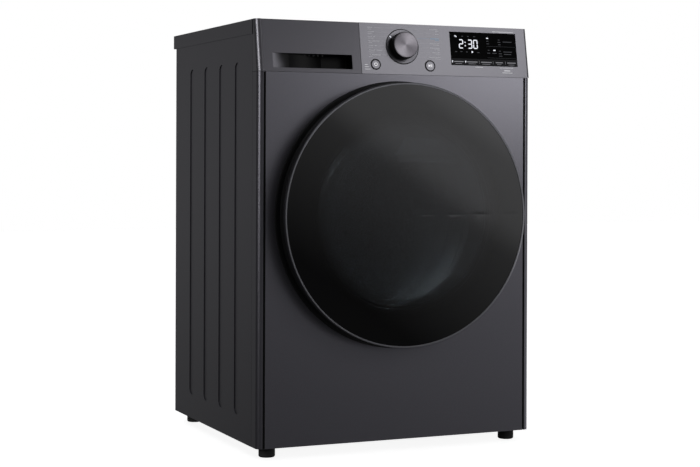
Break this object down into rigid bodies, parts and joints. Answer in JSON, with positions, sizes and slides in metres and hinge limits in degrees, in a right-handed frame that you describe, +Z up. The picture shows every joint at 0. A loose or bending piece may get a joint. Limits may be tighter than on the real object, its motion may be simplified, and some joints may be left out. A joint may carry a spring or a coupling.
{
  "type": "clothes dryer",
  "caption": "Front-loading heat pump clothes dryer with a round smoked glass door, leaning control panel and water tank drawer.",
  "frame": {"origin": "on the floor, under the middle of the whole machine, door and lid overhang included", "axes": "+Z up, the door faces -Y, +X to the right of someone who stands in front"},
  "size_m": [0.6, 0.584, 0.85],
  "materials": {
    "cabinet_steel": "satin powder coat",
    "panel_plastic": "fine satin metallic moulding",
    "black_plastic": "satin",
    "lid_laminate": "fine texture",
    "smoked_glass": "gloss",
    "window_glass": "clear",
    "bright_trim": "satin anodised",
    "knob_metal": "circular brushed",
    "display_glass": "gloss",
    "foot_rubber": "matte",
    "seal_rubber": "matte",
    "felt": "pressed felt",
    "galvanised_steel": "zinc coat",
    "drum_steel": "stainless",
    "steel_hardware": "machined",
    "inner_plastic": "moulded",
    "pale_plastic": "moulded",
    "tank_plastic": "translucent",
    "finned_aluminium": "fins",
    "compressor_enamel": "black enamel",
    "copper": "drawn",
    "board": "solder mask",
    "button_plastic": "satin"
  },
  "bodies": {
    "cabinet": {"base_frame": "black_plastic", "side_panel_left": "cabinet_steel", "side_panel_right": "cabinet_steel", "back_panel": "galvanised_steel", "rear_duct_cover": "galvanised_steel", "power_inlet": "black_plastic", "cabinet_screws": "steel_hardware", "top_panel": "lid_laminate", "front_panel": "cabinet_steel", "door_surround": "black_plastic", "door_gasket": "seal_rubber", "hinge_bracket": "steel_hardware", "door_latch": "pale_plastic", "front_bulkhead": "inner_plastic", "moisture_sensor": "steel_hardware", "rear_bulkhead": "inner_plastic", "rear_bearing": "steel_hardware", "drum_seals": "felt", "roller_axles": "steel_hardware", "drive_belt": "seal_rubber", "motor_housing": "steel_hardware", "fan_housing": "inner_plastic", "compressor": "compressor_enamel", "heat_exchangers": "finned_aluminium", "heat_exchanger_cover": "inner_plastic", "refrigerant_pipes": "copper", "drain_pump": "pale_plastic", "pump_hose": "seal_rubber", "control_fascia": "panel_plastic", "display_window": "display_glass", "control_frame": "panel_plastic", "knob_ring": "black_plastic", "control_box": "inner_plastic", "display_board": "board", "drawer_sleeve": "inner_plastic"},
    "drum": {"drum_shell": "drum_steel", "drum_back": "drum_steel", "drum_shaft": "steel_hardware", "drum_lifters": "pale_plastic"},
    "left_roller": {"roller_left": "pale_plastic"},
    "right_roller": {"roller_right": "pale_plastic"},
    "rotor": {"motor_rotor": "steel_hardware", "fan_wheel": "inner_plastic"},
    "door": {"door_glass": "smoked_glass", "door_rim": "bright_trim", "door_shell": "black_plastic", "door_inner_frame": "black_plastic", "door_window": "window_glass", "door_hinge": "steel_hardware", "door_hook": "steel_hardware"},
    "drawer": {"drawer_front": "panel_plastic", "water_tank": "tank_plastic"},
    "filter": {"lint_filter": "inner_plastic"},
    "knob": {"knob": "knob_metal"},
    "power_button": {"power_button": "button_plastic"},
    "start_button": {"start_button": "button_plastic"},
    "foot_front_left": {"foot_front_left": "foot_rubber"},
    "foot_front_right": {"foot_front_right": "foot_rubber"},
    "foot_back_left": {"foot_back_left": "foot_rubber"},
    "foot_back_right": {"foot_back_right": "foot_rubber"}
  },
  "joints": [
    {"name": "drum_spin", "type": "hinge", "parent": "cabinet", "child": "drum", "pos_m": [0, 0, 0.469], "axis": [0, 1, 0], "continuous": true},
    {"name": "left_roller_spin", "type": "hinge", "parent": "cabinet", "child": "left_roller", "pos_m": [-0.15265, -0.14, 0.2046], "axis": [0, 1, 0], "continuous": true},
    {"name": "right_roller_spin", "type": "hinge", "parent": "cabinet", "child": "right_roller", "pos_m": [0.15265, -0.14, 0.2046], "axis": [0, 1, 0], "continuous": true},
    {"name": "rotor_spin", "type": "hinge", "parent": "cabinet", "child": "rotor", "pos_m": [0.17, 0.05, 0.1], "axis": [0, 1, 0], "continuous": true},
    {"name": "door_hinge_turn", "type": "hinge", "parent": "cabinet", "child": "door", "pos_m": [0.249, -0.2675, 0.469], "axis": [0, 0, 1], "range_deg": [0, 105]},
    {"name": "drawer_slide", "type": "slide", "parent": "cabinet", "child": "drawer", "axis": [0, -1, 0], "range_m": [0, 0.4]},
    {"name": "filter_lift", "type": "slide", "parent": "cabinet", "child": "filter", "axis": [0, 0, 1], "range_m": [0, 0.145]},
    {"name": "knob_spin", "type": "hinge", "parent": "cabinet", "child": "knob", "pos_m": [0.011, -0.23241, 0.80399], "axis": [0, -0.9859, 0.1674], "continuous": true},
    {"name": "power_press", "type": "slide", "parent": "cabinet", "child": "power_button", "axis": [0, 0.9859, -0.1674], "range_m": [0, 0.0015], "stiffness_N_per_m": 1200},
    {"name": "start_press", "type": "slide", "parent": "cabinet", "child": "start_button", "axis": [0, 0.9859, -0.1674], "range_m": [0, 0.0015], "stiffness_N_per_m": 1200},
    {"name": "foot_front_left_level", "type": "slide", "parent": "cabinet", "child": "foot_front_left", "axis": [0, 0, -1], "range_m": [0, 0.012]},
    {"name": "foot_front_right_level", "type": "slide", "parent": "cabinet", "child": "foot_front_right", "axis": [0, 0, -1], "range_m": [0, 0.012]},
    {"name": "foot_back_left_level", "type": "slide", "parent": "cabinet", "child": "foot_back_left", "axis": [0, 0, -1], "range_m": [0, 0.012]},
    {"name": "foot_back_right_level", "type": "slide", "parent": "cabinet", "child": "foot_back_right", "axis": [0, 0, -1], "range_m": [0, 0.012]}
  ],
  "couplings": [
    {"joint": "rotor_spin", "follows": "drum_spin", "ratio": 22.917},
    {"joint": "left_roller_spin", "follows": "drum_spin", "ratio": -9.1667},
    {"joint": "right_roller_spin", "follows": "drum_spin", "ratio": -9.1667}
  ]
}
